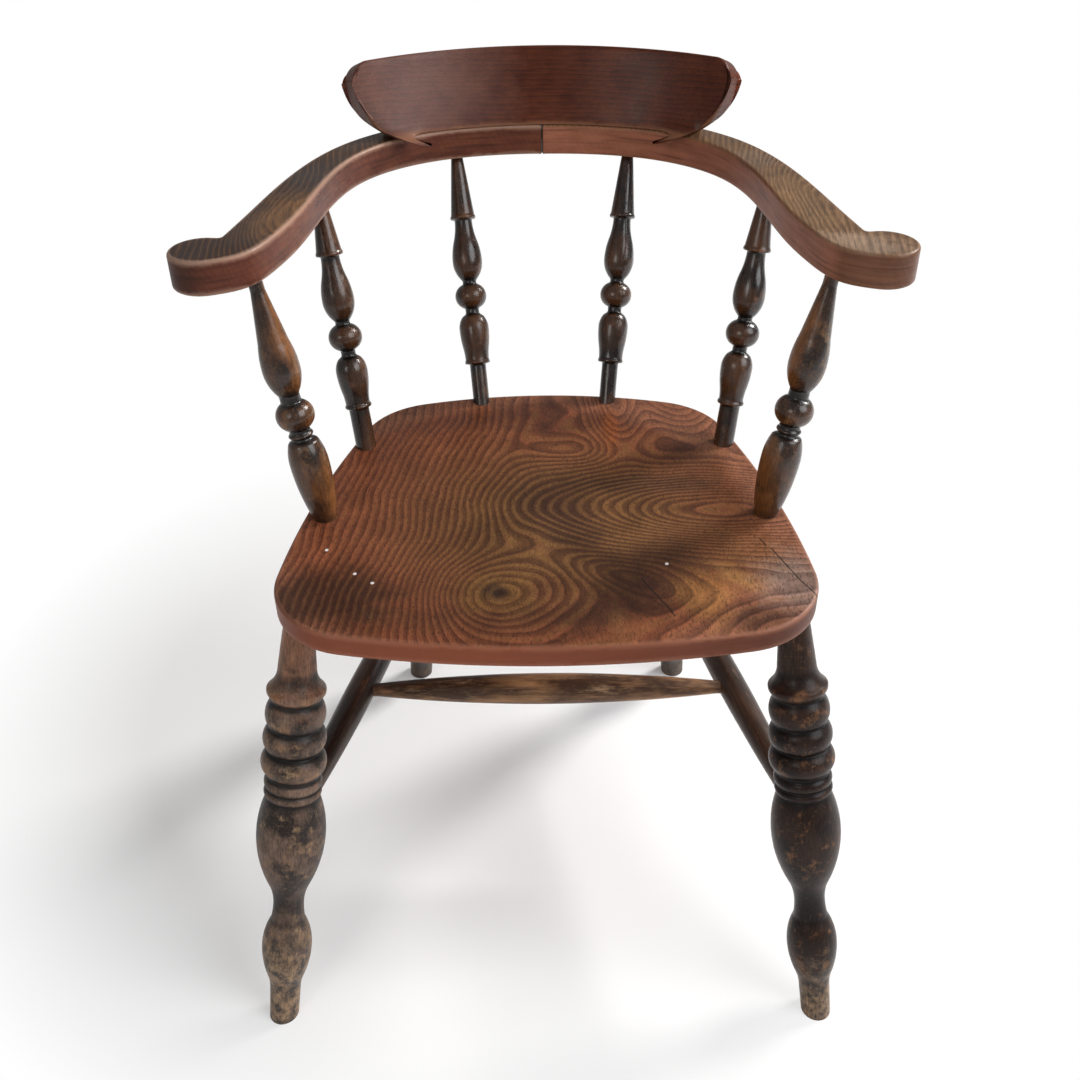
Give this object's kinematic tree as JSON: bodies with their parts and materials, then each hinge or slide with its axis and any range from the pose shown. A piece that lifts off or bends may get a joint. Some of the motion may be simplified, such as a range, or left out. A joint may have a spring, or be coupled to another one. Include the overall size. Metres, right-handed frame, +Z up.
{
  "type": "captains chair",
  "caption": "Wooden captains chair: dished plank seat, sawn bow arms with scrolled ends, low crest rail, ringed spindles and turned, splayed legs.",
  "frame": {"origin": "on the floor, in the middle of the chair's width and depth", "axes": "+X to the sitter's left, +Y from the front to the back, +Z up"},
  "size_m": [0.616, 0.6172, 0.7932],
  "materials": {
    "seat_elm": "waxed and worn, strong figure",
    "arm_wood": "waxed, worn pale on the arrises",
    "crest_wood": "dark polish",
    "spindle_wood": "very dark polish, worn amber",
    "leg_wood": "very dark polish, worn bare at the feet",
    "stretcher_wood": "dark polish",
    "cross_wood": "worn through by feet",
    "dowel_wood": "bare"
  },
  "bodies": {
    "root": {"seat": "seat_elm", "left_arm_bow": "arm_wood", "left_arm_post": "spindle_wood", "left_side_spindle": "spindle_wood", "left_back_spindle": "spindle_wood", "left_front_leg": "leg_wood", "left_back_leg": "leg_wood", "left_side_stretcher": "stretcher_wood", "left_near_crest_dowel": "dowel_wood", "left_far_crest_dowel": "dowel_wood", "right_arm_bow": "arm_wood", "right_arm_post": "spindle_wood", "right_side_spindle": "spindle_wood", "right_back_spindle": "spindle_wood", "right_front_leg": "leg_wood", "right_back_leg": "leg_wood", "right_side_stretcher": "stretcher_wood", "right_near_crest_dowel": "dowel_wood", "right_far_crest_dowel": "dowel_wood", "cross_stretcher": "cross_wood", "crest_rail": "crest_wood", "bow_joint_dowel": "dowel_wood"}
  },
  "joints": []
}
